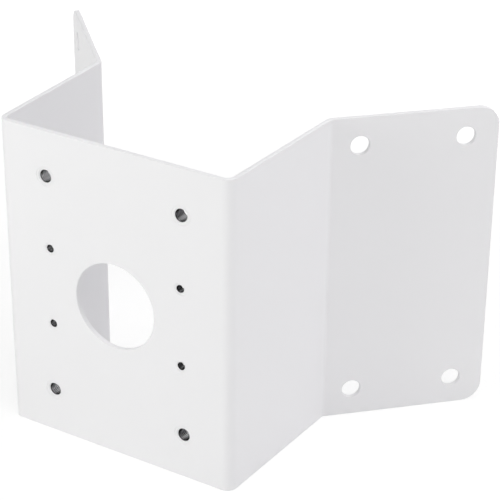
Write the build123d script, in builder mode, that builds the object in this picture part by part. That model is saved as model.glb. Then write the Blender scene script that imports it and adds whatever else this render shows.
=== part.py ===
"""Corner mount bracket for a security camera.

A sheet-steel bracket, folded four times, that lies with its two flanges against the
two faces of an outside building corner. Its front plate carries the camera on eight
press nuts, round a hole for the cable.

Millimetres. +Z is up and the front plate faces -Y. The origin is below the middle of
the bracket, on the plane of its bottom edge.
"""
import os
from math import cos, radians, sin

from build123d import *

# The folded sheet
sheet = 3.0
height = 180.0
plate_width = 143.0
wall_depth = 91.0
flange_width = 92.0
wall_lean = 2.0
flange_angle = 45.0
bend_radius = 3.0
flange_corner_radius = 11.0
edge_chamfer = 0.4

# The cable hole, in the middle of the front plate
cable_hole_diameter = 49.0

# The wall holes, four in each flange
wall_hole_diameter = 10.5
wall_hole_pitch_along = 58.0
wall_hole_pitch_up = 148.0
wall_hole_to_free_edge = 18.0

# The M8 press nuts, at the corners of the front plate
m8_pitch_across = 84.0
m8_pitch_up = 128.0
m8_thread_diameter = 8.0
m8_bore_diameter = 6.8
m8_shank_diameter = 10.5
m8_head_diameter = 12.7
m8_head_height = 5.5

# The M5 press nuts, in the two middle rows
m5_pitch_across = 82.0
m5_pitch_up = 45.0
m5_thread_diameter = 5.0
m5_bore_diameter = 4.2
m5_shank_diameter = 6.4
m5_head_diameter = 8.7
m5_head_height = 2.4

# What every press nut shares
nut_set_back = 0.2
nut_hole_edge_chamfer = 0.3
thread_entry_step = 0.15

# Runs of the outer skin from corner to corner, and the depth that they give
lean = radians(wall_lean)
turn = radians(flange_angle)
wall_run = (wall_depth * sin(lean), wall_depth * cos(lean))
flange_run = (flange_width * cos(turn), flange_width * sin(turn))
corner_loss = edge_chamfer * min(cos(turn), sin(turn))
overall_depth = wall_run[1] + flange_run[1] + sheet * cos(turn) - corner_loss

# Where the outer skin's sharp corners lie, on the right
front_y = -overall_depth / 2
corner_x = plate_width / 2
fold_x = corner_x + wall_run[0]
fold_y = front_y + wall_run[1]
tip_x = fold_x + flange_run[0]
tip_y = fold_y + flange_run[1]

front_face = Plane(
    origin=(0, front_y, height / 2), x_dir=(1, 0, 0), z_dir=(0, -1, 0)
)

# How deep a hole is cut, and how an edge is told from its neighbours
through = 2 * sheet
smooth_limit = 45
radius_match = 1e-4


def flange_face(side):
    """The outer skin of the flange on one side, 1 or -1, with its origin at the middle
    of the hole pattern and its x along the flange towards the free edge."""
    along = flange_width - wall_hole_to_free_edge - wall_hole_pitch_along / 2
    middle_x = side * (fold_x + along * cos(turn))
    middle_y = fold_y + along * sin(turn)
    return Plane(
        origin=(middle_x, middle_y, height / 2),
        x_dir=(side * cos(turn), sin(turn), 0),
        z_dir=(side * sin(turn), -cos(turn), 0),
    )


def is_sharp(edge, faces):
    """Whether two of the faces meet at an angle along the edge, as at the sheet's rim,
    and not where a flat runs smoothly into a curve."""
    middle = edge @ 0.5
    normals = [face.normal_at(middle) for face in faces if edge in face.edges()]
    return normals[0].get_angle(normals[-1]) > smooth_limit


def circles_of(part, diameter):
    """The part's circular edges of one diameter."""
    circles = part.edges().filter_by(GeomType.CIRCLE)
    return circles.filter_by(lambda edge: abs(edge.radius - diameter / 2) < radius_match)


# The sheet: its section is a bent strip, drawn along the outer skin and offset inwards
with BuildPart() as folded_sheet:
    with BuildSketch() as section:
        with BuildLine():
            outer_skin = FilletPolyline(
                (-tip_x, tip_y),
                (-fold_x, fold_y),
                (-corner_x, front_y),
                (corner_x, front_y),
                (fold_x, fold_y),
                (tip_x, tip_y),
                radius=[
                    bend_radius,
                    bend_radius + sheet,
                    bend_radius + sheet,
                    bend_radius,
                ],
            )
            offset(outer_skin, amount=sheet, side=Side.LEFT, closed=True)
        make_face()
    extrude(amount=height)

    # Rounded corners at the free edge of each flange
    for side in (-1, 1):
        across_sheet = Axis((0, 0, 0), flange_face(side).z_dir)
        corners = folded_sheet.edges().filter_by(across_sheet)
        free_edge = (side * tip_x, tip_y, height / 2)
        fillet(corners.sort_by_distance(free_edge)[:2], radius=flange_corner_radius)

    # The rim, deburred all round on both skins
    skin_and_rim = folded_sheet.faces()
    rim = folded_sheet.edges().filter_by(lambda edge: is_sharp(edge, skin_and_rim))
    chamfer(rim, length=edge_chamfer)

    # The cable hole and the wall holes, deburred on both sides
    with BuildSketch(front_face):
        Circle(cable_hole_diameter / 2)
    extrude(amount=-through, mode=Mode.SUBTRACT)
    for side in (-1, 1):
        with BuildSketch(flange_face(side)):
            with GridLocations(wall_hole_pitch_along, wall_hole_pitch_up, 2, 2):
                Circle(wall_hole_diameter / 2)
        extrude(amount=-through, mode=Mode.SUBTRACT)
    for diameter in (cable_hole_diameter, wall_hole_diameter):
        chamfer(circles_of(folded_sheet.part, diameter), length=edge_chamfer)

    # The seats of the press nuts, deburred only in front
    with BuildSketch(front_face):
        with GridLocations(m8_pitch_across, m8_pitch_up, 2, 2):
            Circle(m8_shank_diameter / 2)
        with GridLocations(m5_pitch_across, m5_pitch_up, 2, 2):
            Circle(m5_shank_diameter / 2)
    extrude(amount=-through, mode=Mode.SUBTRACT)
    for diameter in (m8_shank_diameter, m5_shank_diameter):
        rims = circles_of(folded_sheet.part, diameter)
        chamfer(rims.group_by(Axis.Y)[0], length=nut_hole_edge_chamfer)


def press_nut(place, thread, bore, shank, head, head_height):
    """A self-clinching nut pressed in from behind: its shank fills the hole in the
    sheet and its head bears on the sheet's back. Its bore is the tapping size, with a
    countersink in front, where the screw enters."""
    back = sheet + head_height
    entry = thread / 2 + thread_entry_step
    slope = entry - bore / 2
    with BuildPart() as nut:
        with BuildSketch(Plane(origin=place, x_dir=(1, 0, 0), z_dir=(0, 0, 1))):
            with BuildLine():
                Polyline(
                    (entry, nut_set_back),
                    (bore / 2, nut_set_back + slope),
                    (bore / 2, back),
                    (head / 2, back),
                    (head / 2, sheet),
                    (shank / 2, sheet),
                    (shank / 2, nut_set_back),
                    close=True,
                )
            make_face()
        revolve(axis=Axis(place, (0, 1, 0)))
    return nut.part


def nuts_in_place(name, pitch_across, pitch_up, *sizes):
    """Four nuts at the corners of a rectangle, each named after its corner."""
    nuts = []
    for row, up in (("top", 1), ("bottom", -1)):
        for hand, across in (("left", -1), ("right", 1)):
            place = (
                across * pitch_across / 2,
                front_y,
                height / 2 + up * pitch_up / 2,
            )
            nut = press_nut(place, *sizes)
            nut.label = f"{name}_{row}_{hand}"
            nuts.append(nut)
    return nuts


m8_nuts = nuts_in_place(
    "m8_nut",
    m8_pitch_across,
    m8_pitch_up,
    m8_thread_diameter,
    m8_bore_diameter,
    m8_shank_diameter,
    m8_head_diameter,
    m8_head_height,
)
m5_nuts = nuts_in_place(
    "m5_nut",
    m5_pitch_across,
    m5_pitch_up,
    m5_thread_diameter,
    m5_bore_diameter,
    m5_shank_diameter,
    m5_head_diameter,
    m5_head_height,
)

# One file for each piece
os.makedirs("parts", exist_ok=True)
folded_sheet.part.label = "folded_sheet"
for piece in (folded_sheet.part, *m8_nuts, *m5_nuts):
    export_step(piece, f"parts/{piece.label}.step")
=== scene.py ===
"""A corner bracket for a security camera, on a pale floor in soft studio light.

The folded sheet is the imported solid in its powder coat. Each press nut is made here
again with its real thread, and stands in the place of its plain solid. Lengths are in
metres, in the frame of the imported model: +Z is up and the front plate faces -Y.
"""
import logging
import math
from dataclasses import dataclass, field
from enum import Enum

import bmesh
import bpy
from mathutils import Matrix, Vector


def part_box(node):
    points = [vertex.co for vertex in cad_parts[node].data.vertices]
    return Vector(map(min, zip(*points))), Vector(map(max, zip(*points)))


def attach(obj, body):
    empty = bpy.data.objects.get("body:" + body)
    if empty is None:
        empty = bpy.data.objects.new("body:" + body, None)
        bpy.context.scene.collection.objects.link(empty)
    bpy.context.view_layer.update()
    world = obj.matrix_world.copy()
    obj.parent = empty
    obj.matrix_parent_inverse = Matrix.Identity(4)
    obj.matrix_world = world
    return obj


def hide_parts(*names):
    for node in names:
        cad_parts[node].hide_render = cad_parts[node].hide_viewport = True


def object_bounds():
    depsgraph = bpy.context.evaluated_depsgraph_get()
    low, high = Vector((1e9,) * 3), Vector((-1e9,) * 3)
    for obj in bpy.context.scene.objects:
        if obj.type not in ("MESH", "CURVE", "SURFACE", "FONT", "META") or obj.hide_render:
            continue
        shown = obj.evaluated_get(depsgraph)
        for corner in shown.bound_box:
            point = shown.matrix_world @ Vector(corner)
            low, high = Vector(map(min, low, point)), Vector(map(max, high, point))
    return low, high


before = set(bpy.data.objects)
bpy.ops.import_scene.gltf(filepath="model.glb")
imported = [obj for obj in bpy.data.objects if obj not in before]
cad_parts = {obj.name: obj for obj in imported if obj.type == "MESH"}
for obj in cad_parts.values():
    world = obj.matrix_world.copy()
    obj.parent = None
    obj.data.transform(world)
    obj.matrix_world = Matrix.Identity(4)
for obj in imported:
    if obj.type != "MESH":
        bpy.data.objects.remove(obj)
cad_box = [list(corner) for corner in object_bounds()]

MM = 0.001
BODY = "root"

log = logging.getLogger("camera_bracket")

Colour = tuple[float, float, float]
Socket = bpy.types.NodeSocket
Number = float | Socket


class Slot(Enum):
    """The record's material slots."""

    POWDER_COAT = "powder_coat"
    BARE_THREAD = "bare_thread"


class Row(Enum):
    """The upper and the lower row of a nut pattern."""

    TOP = "top"
    BOTTOM = "bottom"


class Hand(Enum):
    """The two sides of a nut pattern, as seen from in front of the plate."""

    LEFT = "left"
    RIGHT = "right"


class Wiring:
    """Adds nodes to one node tree and joins them."""

    def __init__(self, tree: bpy.types.NodeTree) -> None:
        """Keeps the tree that the nodes go to."""
        self.tree = tree

    def add(
        self,
        kind: str,
        inputs: dict[str | int, object] | None = None,
        **settings: object,
    ) -> bpy.types.Node:
        """Adds one node.

        Args:
            kind: The type of the node, as Blender names it.
            inputs: For inputs of the node, by name or number, a value or the output
                that feeds it.
            settings: Values for the node's own properties.

        Returns:
            The new node.
        """
        node = self.tree.nodes.new(kind)
        for name, value in settings.items():
            setattr(node, name, value)
        for key, value in (inputs or {}).items():
            if isinstance(value, Socket):
                self.tree.links.new(value, node.inputs[key])
            else:
                node.inputs[key].default_value = value
        return node

    def math(self, operation: str, *values: Number, clamp: bool = False) -> Socket:
        """Adds one step of arithmetic.

        Args:
            operation: The operation of a Math node.
            values: Its numbers, each a plain one or the output of another node.
            clamp: Whether the result is kept from 0 to 1.

        Returns:
            The result's socket.
        """
        inputs = dict(enumerate(values))
        node = self.add("ShaderNodeMath", inputs, operation=operation, use_clamp=clamp)
        return node.outputs[0]

    def total(self, *values: Number) -> Socket:
        """Adds the sum of two or more numbers."""
        result = values[0]
        for value in values[1:]:
            result = self.math("ADD", result, value)
        return result


@dataclass(frozen=True)
class Grain:
    """A noise that goes through the whole piece, by the size of its features."""

    size: float
    detail: float = 2.0

    def field(self, wiring: Wiring, place: Socket) -> Socket:
        """Adds the noise to a material, read at a place in the piece."""
        inputs = {"Vector": place, "Scale": 1 / self.size, "Detail": self.detail}
        return wiring.add("ShaderNodeTexNoise", inputs).outputs["Fac"]


@dataclass(frozen=True)
class PowderCoat:
    """Satin white powder coat, with the slight orange peel that it cures with."""

    colour: Colour = (0.872, 0.866, 0.886)
    tone_change: float = 0.012
    roughness: tuple[float, float] = (0.42, 0.50)
    cloud: Grain = Grain(38 * MM, 3.0)
    peel: Grain = Grain(2.2 * MM)
    peel_height: float = 0.007 * MM
    speck: Grain = Grain(0.5 * MM, 1.0)
    speck_height: float = 0.0015 * MM

    def material(self) -> bpy.types.Material:
        """Builds the material.

        Returns:
            The material, which reads the piece's own coordinates.
        """
        material = bpy.data.materials.new(Slot.POWDER_COAT.value)
        material.use_nodes = True
        wiring = Wiring(material.node_tree)
        shader = material.node_tree.nodes["Principled BSDF"]
        place = wiring.add("ShaderNodeTexCoord").outputs["Object"]
        cloud = self.cloud.field(wiring, place)

        darker = tuple(part * (1 - self.tone_change) for part in self.colour)
        tone = wiring.add(
            "ShaderNodeMix",
            {"Factor": cloud, "A": (*darker, 1.0), "B": (*self.colour, 1.0)},
            data_type="RGBA",
        )
        gloss = wiring.add(
            "ShaderNodeMapRange",
            {"Value": cloud, "To Min": self.roughness[0], "To Max": self.roughness[1]},
        )
        peel = wiring.math("MULTIPLY", self.peel.field(wiring, place), self.peel_height)
        speck = wiring.math("MULTIPLY", self.speck.field(wiring, place), self.speck_height)
        bump = wiring.add(
            "ShaderNodeBump",
            {"Height": wiring.total(peel, speck), "Strength": 1.0, "Distance": 1.0},
        )
        links = material.node_tree.links
        links.new(tone.outputs["Result"], shader.inputs["Base Color"])
        links.new(gloss.outputs["Result"], shader.inputs["Roughness"])
        links.new(bump.outputs["Normal"], shader.inputs["Normal"])
        return material


@dataclass(frozen=True)
class BareThread:
    """Bare tapped steel, masked while the rest was coated; its grooves hold painted shade.

    The groove colour is painted shade for the thread's roots: the steel darkens to it, in full
    from a given share of the thread's depth.
    """

    name: str
    crest_colour: Colour
    # The groove colour is painted shade for the thread's roots
    groove_shade_colour: Colour
    groove_shade_from: float = 0.04
    metallic: float = 1.0
    roughness: tuple[float, float] = (0.09, 0.15)
    stain: Grain = Grain(1.8 * MM, 3.0)
    stain_darkening: float = 0.35
    scratch: Grain = Grain(0.12 * MM, 2.0)
    scratch_height: float = 0.004 * MM

    def material(self) -> bpy.types.Material:
        """Builds the material.

        Returns:
            The material, which reads the piece's own coordinates.
        """
        material = bpy.data.materials.new(f"{Slot.BARE_THREAD.value}_{self.name}")
        material.use_nodes = True
        wiring = Wiring(material.node_tree)
        shader = material.node_tree.nodes["Principled BSDF"]
        shader.inputs["Metallic"].default_value = self.metallic
        place = wiring.add("ShaderNodeTexCoord").outputs["Object"]
        stain = self.stain.field(wiring, place)

        cut = wiring.add("ShaderNodeAttribute", attribute_name=ThreadTree.CUT).outputs["Fac"]
        # Painted shade: towards the thread's roots the steel turns to the near-black groove colour
        shade_in_groove = wiring.add(
            "ShaderNodeMapRange",
            {"Value": cut, "From Max": self.groove_shade_from},
            interpolation_type="SMOOTHSTEP",
        )
        stained = wiring.math("MULTIPLY", stain, self.stain_darkening)
        # The painted groove shade, or the random stain where that is darker, sets the steel's tone
        shade_and_stain = wiring.math("MAXIMUM", shade_in_groove.outputs["Result"], stained)
        tone = wiring.add(
            "ShaderNodeMix",
            {"Factor": shade_and_stain, "A": (*self.crest_colour, 1.0), "B": (*self.groove_shade_colour, 1.0)},
            data_type="RGBA",
        )
        gloss = wiring.add(
            "ShaderNodeMapRange",
            {"Value": stain, "To Min": self.roughness[1], "To Max": self.roughness[0]},
        )
        scratch = self.scratch.field(wiring, place)
        bump = wiring.add(
            "ShaderNodeBump",
            {"Height": scratch, "Strength": 1.0, "Distance": self.scratch_height},
        )
        links = material.node_tree.links
        links.new(tone.outputs["Result"], shader.inputs["Base Color"])
        links.new(gloss.outputs["Result"], shader.inputs["Roughness"])
        links.new(bump.outputs["Normal"], shader.inputs["Normal"])
        return material


@dataclass
class FoldedSheet:
    """The folded sheet: front plate, two side walls and two flanges in one piece."""

    coat: bpy.types.Material
    node: str = "folded_sheet"
    weld_distance: float = 0.001 * MM

    def dress(self) -> bpy.types.Object:
        """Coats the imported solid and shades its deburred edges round.

        Returns:
            The solid's own object.
        """
        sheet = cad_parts[self.node]
        for slot in sheet.material_slots:
            slot.material = self.coat
        for face in sheet.data.polygons:
            face.use_smooth = True
        weld = sheet.modifiers.new("weld", "WELD")
        weld.merge_threshold = self.weld_distance
        shading = sheet.modifiers.new("shading", "WEIGHTED_NORMAL")
        shading.mode = "FACE_AREA"
        log.info("%s: %d triangles, coated", self.node, len(sheet.data.polygons))
        return sheet


@dataclass(frozen=True)
class ThreadForm:
    """A right-hand metric thread, cut into a bore of the tapping size."""

    diameter: float
    pitch: float
    bore: float
    flank_angle: float = math.radians(30)
    root_share: float = 1 / 8

    @property
    def flank_run(self) -> float:
        """How far along the axis a flank reaches, as a share of the pitch."""
        depth = (self.diameter - self.bore) / 2
        return depth * math.tan(self.flank_angle) / self.pitch


class ThreadTree:
    """The node tree that cuts a thread and closes a nut's shell with it.

    The thread is a grid rolled into a tube. Its rows follow the helix, so each row keeps
    one place on the thread's profile, and both its ends widen into a countersink that
    ends in the same ring as the shell.
    """

    LENGTHS = (
        "Thread Radius",
        "Bore Radius",
        "Pitch",
        "Length",
        "Entry Radius",
        "Coated Depth",
    )
    SHARES = ("Flank Share", "Root Share")
    COUNTS = ("Columns", "Rows per Pitch")
    MATERIALS = ("Coat", "Bare Metal")
    MARK = "bare"
    CUT = "thread_cut"
    MERGE_DISTANCE = 0.002 * MM
    SHARP_ANGLE = math.radians(40)

    def __init__(self) -> None:
        """Builds the tree."""
        self.tree = bpy.data.node_groups.new("internal_thread", "GeometryNodeTree")
        self._declare()
        self.wiring = Wiring(self.tree)
        self.given = self.wiring.add("NodeGroupInput").outputs
        nut = self._close_nut(self._thread())
        self.wiring.add("NodeGroupOutput", {0: nut})

    def _declare(self) -> None:
        """Gives the tree its named inputs and its one output."""
        interface = self.tree.interface
        interface.new_socket("Shell", in_out="INPUT", socket_type="NodeSocketGeometry")
        kinds = (
            (self.LENGTHS, "NodeSocketFloat"),
            (self.SHARES, "NodeSocketFloat"),
            (self.COUNTS, "NodeSocketInt"),
            (self.MATERIALS, "NodeSocketMaterial"),
        )
        for names, kind in kinds:
            for name in names:
                interface.new_socket(name, in_out="INPUT", socket_type=kind)
        interface.new_socket("Nut", in_out="OUTPUT", socket_type="NodeSocketGeometry")

    def _thread(self) -> Socket:
        """Builds the threaded wall.

        Returns:
            The wall's geometry, open at both ends and facing the axis.
        """
        wiring, given, math_step = self.wiring, self.given, self.wiring.math
        pitch, length = given["Pitch"], given["Length"]

        # A row climbs one pitch in its turn, so one pitch more than the length is laid out
        turns = wiring.total(math_step("DIVIDE", length, pitch), 1.0)
        rows = math_step("CEIL", math_step("MULTIPLY", turns, given["Rows per Pitch"]))
        grid = wiring.add(
            "GeometryNodeMeshGrid",
            {
                "Size X": 1.0,
                "Size Y": 1.0,
                "Vertices X": wiring.total(given["Columns"], 1.0),
                "Vertices Y": wiring.total(rows, 1.0),
            },
        )

        # The grid's middle is at zero, so half of its size is added to count from its edge
        place = wiring.add("GeometryNodeInputPosition").outputs["Position"]
        flat = wiring.add("ShaderNodeSeparateXYZ", {"Vector": place}).outputs
        across, along = wiring.total(flat["X"], 0.5), wiring.total(flat["Y"], 0.5)
        column = math_step("ROUND", math_step("MULTIPLY", across, given["Columns"]))
        row = math_step("ROUND", math_step("MULTIPLY", along, rows))

        # What would lie past an end of the nut is pressed into the ring at that end
        turn = math_step("DIVIDE", column, given["Columns"])
        risen = wiring.total(math_step("DIVIDE", row, given["Rows per Pitch"]), turn, -1.0)
        free_depth = math_step("MULTIPLY", risen, pitch)
        depth = math_step("MINIMUM", math_step("MAXIMUM", free_depth, 0.0), length)

        radius = self._radius(depth, turn)
        angle = math_step("MULTIPLY", turn, 2 * math.pi)
        down = math_step("MULTIPLY", math_step("SINE", angle), math_step("MULTIPLY", radius, -1.0))
        rolled = wiring.add(
            "ShaderNodeCombineXYZ",
            {"X": math_step("MULTIPLY", math_step("COSINE", angle), radius), "Y": depth, "Z": down},
        )
        cut = math_step(
            "DIVIDE",
            math_step("SUBTRACT", radius, given["Bore Radius"]),
            math_step("SUBTRACT", given["Thread Radius"], given["Bore Radius"]),
            clamp=True,
        )
        measured = wiring.add(
            "GeometryNodeStoreNamedAttribute",
            {"Geometry": grid.outputs["Mesh"], "Name": self.CUT, "Value": cut},
            data_type="FLOAT",
            domain="POINT",
        )
        tube = wiring.add(
            "GeometryNodeSetPosition",
            {"Geometry": measured.outputs[0], "Position": rolled.outputs["Vector"]},
        )
        inward = wiring.add("GeometryNodeFlipFaces", {"Mesh": tube.outputs["Geometry"]})
        return inward.outputs["Mesh"]

    def _radius(self, depth: Socket, turn: Socket) -> Socket:
        """Works out the thread's radius.

        Args:
            depth: The distance behind the nut's front.
            turn: The share of a full turn about the axis.

        Returns:
            The radius there: the thread's profile, or the countersink where it is wider.
        """
        wiring, given, math_step = self.wiring, self.given, self.wiring.math

        # The profile repeats with each pitch, and the middle of its root is half way
        advance = math_step("SUBTRACT", math_step("DIVIDE", depth, given["Pitch"]), turn)
        from_root = math_step("ABSOLUTE", wiring.total(math_step("FRACT", advance), -0.5))
        half_root = math_step("DIVIDE", given["Root Share"], 2.0)
        flank_end = wiring.total(half_root, given["Flank Share"])
        left_of_flank = math_step("SUBTRACT", flank_end, from_root)
        cut = math_step("DIVIDE", left_of_flank, given["Flank Share"], clamp=True)
        full_cut = math_step("SUBTRACT", given["Thread Radius"], given["Bore Radius"])
        profile = wiring.total(given["Bore Radius"], math_step("MULTIPLY", cut, full_cut))

        # Each countersink slopes at 45 degrees, so its radius falls by the depth
        front_cone = math_step("SUBTRACT", given["Entry Radius"], depth)
        to_back = math_step("SUBTRACT", given["Length"], depth)
        back_cone = math_step("SUBTRACT", given["Entry Radius"], to_back)
        cones = math_step("MAXIMUM", front_cone, back_cone)
        return math_step("MAXIMUM", profile, cones)

    def _close_nut(self, wall: Socket) -> Socket:
        """Joins the threaded wall to the shell and gives both their materials.

        Args:
            wall: The threaded wall.

        Returns:
            The closed nut.
        """
        wiring, given = self.wiring, self.given
        place = wiring.add("GeometryNodeInputPosition").outputs["Position"]
        depth = wiring.add("ShaderNodeSeparateXYZ", {"Vector": place}).outputs["Y"]
        to_back = wiring.math("SUBTRACT", given["Length"], depth)
        from_end = wiring.math("MINIMUM", depth, to_back)
        marked = wiring.add(
            "GeometryNodeStoreNamedAttribute",
            {
                "Geometry": wall,
                "Name": self.MARK,
                "Value": wiring.math("GREATER_THAN", from_end, given["Coated Depth"]),
            },
            data_type="BOOLEAN",
            domain="FACE",
        )
        joined = wiring.add("GeometryNodeJoinGeometry", {0: given["Shell"]})
        self.tree.links.new(marked.outputs[0], joined.inputs[0])
        closed = wiring.add(
            "GeometryNodeMergeByDistance",
            {"Geometry": joined.outputs[0], "Distance": self.MERGE_DISTANCE},
        )
        smooth = wiring.add(
            "GeometryNodeSetShadeSmooth",
            {"Geometry": closed.outputs[0], "Shade Smooth": True},
            domain="FACE",
        )
        bend = wiring.add("GeometryNodeInputMeshEdgeAngle").outputs["Unsigned Angle"]
        shaded = wiring.add(
            "GeometryNodeSetShadeSmooth",
            {
                "Geometry": smooth.outputs[0],
                "Selection": wiring.math("GREATER_THAN", bend, self.SHARP_ANGLE),
                "Shade Smooth": False,
            },
            domain="EDGE",
        )
        real = wiring.add("GeometryNodeRealizeInstances", {0: shaded.outputs[0]})
        coated = wiring.add(
            "GeometryNodeSetMaterial", {"Geometry": real.outputs[0], "Material": given["Coat"]}
        )
        mark = wiring.add(
            "GeometryNodeInputNamedAttribute", {"Name": self.MARK}, data_type="BOOLEAN"
        )
        bare = wiring.add(
            "GeometryNodeSetMaterial",
            {
                "Geometry": coated.outputs[0],
                "Selection": mark.outputs["Attribute"],
                "Material": given["Bare Metal"],
            },
        )
        return bare.outputs[0]

    def apply(self, shell: bpy.types.Mesh, values: dict[str, object]) -> bpy.types.Mesh:
        """Runs the tree on a shell.

        Args:
            shell: The mesh of the nut's outside, open at both ends of the bore.
            values: A value for each of the tree's inputs, by its name.

        Returns:
            The closed nut's plain mesh.
        """
        blank = bpy.data.objects.new(shell.name, shell)
        bpy.context.scene.collection.objects.link(blank)
        modifier = blank.modifiers.new("thread", "NODES")
        modifier.node_group = self.tree
        for item in self.tree.interface.items_tree:
            if item.name in values:
                modifier[item.identifier] = values[item.name]
        graph = bpy.context.evaluated_depsgraph_get()
        mesh = bpy.data.meshes.new_from_object(blank.evaluated_get(graph), depsgraph=graph)
        bpy.data.objects.remove(blank)
        mark = mesh.attributes.get(self.MARK)
        if mark:
            mesh.attributes.remove(mark)
        return mesh


@dataclass
class PressNut:
    """A self-clinching nut: its shank fills a hole in the sheet, its head lies behind."""

    name: str
    thread: ThreadForm
    shank_diameter: float
    head_diameter: float
    head_height: float
    columns: int
    finish: BareThread
    shank_length: float = 2.8 * MM
    entry_step: float = 0.15 * MM
    coated_share: float = 0.9
    shank_rounding: float = 0.12 * MM
    head_rounding: float = 0.4 * MM
    rounding_steps: int = 4
    rows_per_pitch: int = 16

    @property
    def length(self) -> float:
        """From the front of the shank to the back of the head."""
        return self.shank_length + self.head_height

    @property
    def entry_radius(self) -> float:
        """The radius of the countersink where it meets the nut's ends."""
        return self.thread.diameter / 2 + self.entry_step

    @property
    def coated_depth(self) -> float:
        """How far the coat reaches into the countersink."""
        full_cut = (self.thread.diameter - self.thread.bore) / 2
        return self.entry_step + full_cut * self.coated_share

    def outline(self) -> list[Vector]:
        """Draws half the nut's outside section.

        Returns:
            Points of radius and depth, from the front countersink round to the back one.
        """
        shank, head = self.shank_diameter / 2, self.head_diameter / 2
        corners = [
            (Vector((self.entry_radius, 0.0)), 0.0),
            (Vector((shank, 0.0)), self.shank_rounding),
            (Vector((shank, self.shank_length)), 0.0),
            (Vector((head, self.shank_length)), self.shank_rounding),
            (Vector((head, self.length)), self.head_rounding),
            (Vector((self.entry_radius, self.length)), 0.0),
        ]
        points = []
        for index, (corner, rounding) in enumerate(corners):
            if rounding:
                before, after = corners[index - 1][0], corners[index + 1][0]
                points += self._arc(before, corner, after, rounding)
            else:
                points.append(corner)
        return points

    def _arc(self, before: Vector, corner: Vector, after: Vector, radius: float) -> list[Vector]:
        """Rounds one corner of the outline.

        Args:
            before: The corner before it.
            corner: The corner to round.
            after: The corner after it.
            radius: The radius of the rounding.

        Returns:
            The points of the arc in its place.
        """
        to_before, to_after = (before - corner).normalized(), (after - corner).normalized()
        half = to_before.angle(to_after) / 2
        start = corner + to_before * radius / math.tan(half)
        centre = corner + (to_before + to_after).normalized() * radius / math.sin(half)
        sweep = math.copysign(math.pi - 2 * half, to_after.cross(to_before))
        steps = range(self.rounding_steps + 1)
        turns = (Matrix.Rotation(sweep * step / self.rounding_steps, 2) for step in steps)
        return [centre + turn @ (start - centre) for turn in turns]

    def shell(self) -> bpy.types.Mesh:
        """Revolves the outline into the nut's outside, open at both ends of the bore."""
        work = bmesh.new()
        angles = [2 * math.pi * column / self.columns for column in range(self.columns)]
        rings = [
            [
                work.verts.new((radius * math.cos(angle), depth, -radius * math.sin(angle)))
                for angle in angles
            ]
            for radius, depth in self.outline()
        ]
        for front, back in zip(rings, rings[1:]):
            for column in range(self.columns):
                beside = (column + 1) % self.columns
                work.faces.new((front[column], front[beside], back[beside], back[column]))
        mesh = bpy.data.meshes.new(f"{self.name}_shell")
        work.to_mesh(mesh)
        work.free()
        return mesh

    def mesh(self, tree: ThreadTree, coat: bpy.types.Material) -> bpy.types.Mesh:
        """Builds the whole nut with its axis on the Y axis and its front at the origin.

        Args:
            tree: The tree that cuts the thread.
            coat: The finish outside.

        Returns:
            The nut's closed mesh.
        """
        values = {
            "Thread Radius": self.thread.diameter / 2,
            "Bore Radius": self.thread.bore / 2,
            "Pitch": self.thread.pitch,
            "Length": self.length,
            "Entry Radius": self.entry_radius,
            "Coated Depth": self.coated_depth,
            "Flank Share": self.thread.flank_run,
            "Root Share": self.thread.root_share,
            "Columns": self.columns,
            "Rows per Pitch": self.rows_per_pitch,
            "Coat": coat,
            "Bare Metal": self.finish.material(),
        }
        return tree.apply(self.shell(), values)


@dataclass
class NutPattern:
    """Four like nuts at the corners of a rectangle in the front plate.

    Each was pressed in at an angle of its own, so their threads start in different places.
    """

    nut: PressNut
    turn_between: float = math.radians(137.5)

    def place(self, mesh: bpy.types.Mesh) -> list[bpy.types.Object]:
        """Puts a copy of the nut in the place of each of its four solids.

        Args:
            mesh: The nut, with its axis on the Y axis and its front at the origin.

        Returns:
            The four nuts.
        """
        nuts = []
        for row in Row:
            for hand in Hand:
                node = f"{self.nut.name}_{row.value}_{hand.value}"
                low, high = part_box(node)
                centre = (low + high) / 2
                seat = Matrix.Translation((centre.x, low.y, centre.z))
                turn = Matrix.Rotation(self.turn_between * len(nuts), 4, "Y")
                placed = mesh.copy()
                placed.transform(seat @ turn)
                piece = bpy.data.objects.new(f"{node}_threaded", placed)
                bpy.context.scene.collection.objects.link(piece)
                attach(piece, BODY)
                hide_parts(node)
                log.info("%s: %d faces", piece.name, len(placed.polygons))
                nuts.append(piece)
        return nuts


@dataclass(frozen=True)
class SoftBox:
    """A square soft light that points at the bracket, placed by angles in degrees."""

    name: str
    azimuth: float
    elevation: float
    distance: float
    width: float
    power: float
    colour: Colour = (1.0, 1.0, 1.0)

    def hang(self, target: Vector) -> bpy.types.Object:
        """Hangs the light.

        Args:
            target: The point that it faces.

        Returns:
            The light's object.
        """
        lamp = bpy.data.lights.new(self.name, "AREA")
        lamp.size = self.width
        lamp.energy = self.power
        lamp.color = self.colour
        holder = bpy.data.objects.new(self.name, lamp)
        back = direction(self.azimuth, self.elevation)
        holder.location = target + back * self.distance
        holder.rotation_euler = back.to_track_quat("Z", "Y").to_euler()
        bpy.context.scene.collection.objects.link(holder)
        return holder


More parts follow.
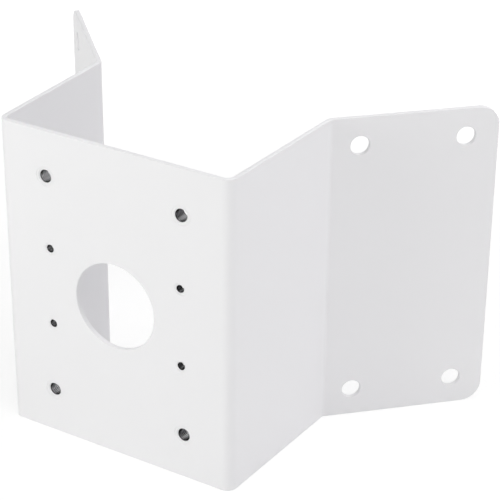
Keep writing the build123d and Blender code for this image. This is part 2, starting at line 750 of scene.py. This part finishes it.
@dataclass
class Studio:
    """The pale floor, the white surround and the lights."""

    floor_width: float = 12.0
    floor_gap: float = 0.02 * MM
    floor_colour: Colour = (0.92, 0.92, 0.92)
    shadow_share: float = 0.45
    shadow_fade: tuple[float, float] = (150 * MM, 700 * MM)
    white_level: float = 1.2
    surround: float = 0.15
    lights: tuple[SoftBox, ...] = (
        SoftBox("left_light", -30.0, 10.0, 1.0, 0.7, 3.5, (0.99, 1.0, 0.965)),
        SoftBox("front_light", 0.0, 10.0, 1.5, 1.0, 3.7, (0.99, 1.0, 0.965)),
        SoftBox("high_light", 60.0, 40.0, 1.5, 1.0, 6.0, (1.0, 1.0, 0.99)),
        SoftBox("right_light", 120.0, 10.0, 1.5, 1.0, 5.9, (1.0, 1.0, 1.01)),
        SoftBox("back_light", 180.0, 40.0, 1.5, 1.0, 4.4),
        SoftBox("top_light", 0.0, 88.0, 1.6, 1.2, 9.6),
    )

    def build(self, target: Vector) -> None:
        """Builds the floor, the surround and the lights round the bracket's middle."""
        self._floor()
        self._surround()
        for light in self.lights:
            light.hang(target)
        log.info("studio: floor, surround and %d lights", len(self.lights))

    @staticmethod
    def _seen(wiring: Wiring) -> Socket:
        """Adds a factor that is 1 for what the camera sees, straight or in a gloss."""
        path = wiring.add("ShaderNodeLightPath").outputs
        straight_or_mirrored = wiring.math("MAXIMUM", path["Is Camera Ray"], path["Is Glossy Ray"])
        return wiring.math("MAXIMUM", straight_or_mirrored, path["Is Transmission Ray"])

    def _floor(self) -> None:
        """Lays the floor, white to the camera apart from the bracket's soft shadow."""
        mesh = bpy.data.meshes.new("floor")
        half = self.floor_width / 2
        turns = ((-half, -half), (half, -half), (half, half), (-half, half))
        corners = [(x, y, -self.floor_gap) for x, y in turns]
        mesh.from_pydata(corners, [], [(0, 1, 2, 3)])
        floor = bpy.data.objects.new("floor", mesh)
        bpy.context.scene.collection.objects.link(floor)

        material = bpy.data.materials.new("pale_floor")
        material.use_nodes = True
        material.node_tree.nodes.clear()
        wiring = Wiring(material.node_tree)
        paint = wiring.add("ShaderNodeBsdfDiffuse", {"Color": (*self.floor_colour, 1.0)})
        glow = wiring.add("ShaderNodeEmission", {"Strength": self.white_level})
        place = wiring.add("ShaderNodeTexCoord").outputs["Object"]
        away = wiring.add("ShaderNodeVectorMath", {0: place}, operation="LENGTH")
        white = wiring.add(
            "ShaderNodeMapRange",
            {
                "Value": away.outputs["Value"],
                "From Min": self.shadow_fade[0],
                "From Max": self.shadow_fade[1],
                "To Min": 1 - self.shadow_share,
                "To Max": 1.0,
            },
            interpolation_type="SMOOTHSTEP",
        )
        share = wiring.math("MULTIPLY", self._seen(wiring), white.outputs["Result"])
        mixed = wiring.add(
            "ShaderNodeMixShader",
            {0: share, 1: paint.outputs["BSDF"], 2: glow.outputs["Emission"]},
        )
        wiring.add("ShaderNodeOutputMaterial", {"Surface": mixed.outputs["Shader"]})
        mesh.materials.append(material)

    def _surround(self) -> None:
        """Sets the world: white where it is seen, dimmer as a light."""
        world = bpy.data.worlds.new("surround")
        world.use_nodes = True
        wiring = Wiring(world.node_tree)
        level = wiring.math("MAXIMUM", self._seen(wiring), self.surround)
        background = world.node_tree.nodes["Background"]
        background.inputs["Color"].default_value = (1.0, 1.0, 1.0, 1.0)
        world.node_tree.links.new(level, background.inputs["Strength"])
        bpy.context.scene.world = world


@dataclass
class PhotoCamera:
    """The photograph's view of the bracket, from a fit of its corners and holes."""

    azimuth: float = 31.769
    elevation: float = 27.349
    roll: float = 0.470
    distance: float = 957.96 * MM
    lens: float = 134.68
    sensor_width: float = 36.0
    aim_from_plate: Vector = field(default_factory=lambda: Vector((57.56, 40.0, 32.08)) * MM)

    def set_up(self, plate_middle: Vector) -> bpy.types.Object:
        """Puts the camera in its place and makes it the scene's own.

        Args:
            plate_middle: The middle of the front plate's front.

        Returns:
            The camera.
        """
        data = bpy.data.cameras.new("photo_camera")
        data.lens = self.lens
        data.sensor_width = self.sensor_width
        camera = bpy.data.objects.new("photo_camera", data)
        back = direction(self.azimuth, self.elevation)
        level = Vector((0, 0, 1)).cross(back).normalized()
        turn = Matrix.Rotation(math.radians(self.roll), 3, back)
        right = turn @ level
        up = turn @ back.cross(level)
        pose = Matrix((right, up, back)).transposed().to_4x4()
        pose.translation = plate_middle + self.aim_from_plate + back * self.distance
        camera.matrix_world = pose
        bpy.context.scene.collection.objects.link(camera)
        bpy.context.scene.camera = camera
        return camera


def direction(azimuth: float, elevation: float) -> Vector:
    """Gives the way to a place round the bracket.

    Args:
        azimuth: Degrees round from straight in front, positive to the right.
        elevation: Degrees above the horizon.

    Returns:
        The direction from the bracket to that place.
    """
    around, above = math.radians(azimuth), math.radians(elevation)
    level = math.cos(above)
    return Vector((math.sin(around) * level, -math.cos(around) * level, math.sin(above)))


def main() -> None:
    """Dresses the sheet, makes the nuts and sets up the studio and the camera."""
    logging.basicConfig(level=logging.INFO, format="%(message)s")
    coat = PowderCoat().material()
    FoldedSheet(coat).dress()

    tree = ThreadTree()
    m8_nut = PressNut(
        name="m8_nut",
        thread=ThreadForm(8.0 * MM, 1.25 * MM, 6.8 * MM),
        shank_diameter=10.5 * MM,
        head_diameter=12.7 * MM,
        head_height=5.5 * MM,
        columns=96,
        # The near-black groove colour is painted shade for the thread's roots
        finish=BareThread("m8", (0.72, 0.72, 0.74), (0.003, 0.003, 0.003)),
    )
    m5_nut = PressNut(
        name="m5_nut",
        thread=ThreadForm(5.0 * MM, 0.8 * MM, 4.2 * MM),
        shank_diameter=6.4 * MM,
        head_diameter=8.7 * MM,
        head_height=2.4 * MM,
        columns=72,
        # The same bare steel as the M8 thread, in much darker colours: painted shade for the
        # smaller bore
        finish=BareThread("m5", (0.18, 0.18, 0.185), (0.001, 0.001, 0.001)),
    )
    for nut in (m8_nut, m5_nut):
        NutPattern(nut).place(nut.mesh(tree, coat))

    low, high = (Vector(corner) for corner in cad_box)
    middle = (low + high) / 2
    Studio().build(middle)
    PhotoCamera().set_up(Vector((middle.x, low.y, middle.z)))

    scene = bpy.context.scene
    scene.view_settings.view_transform = "Standard"


if __name__ == "__main__":
    main()
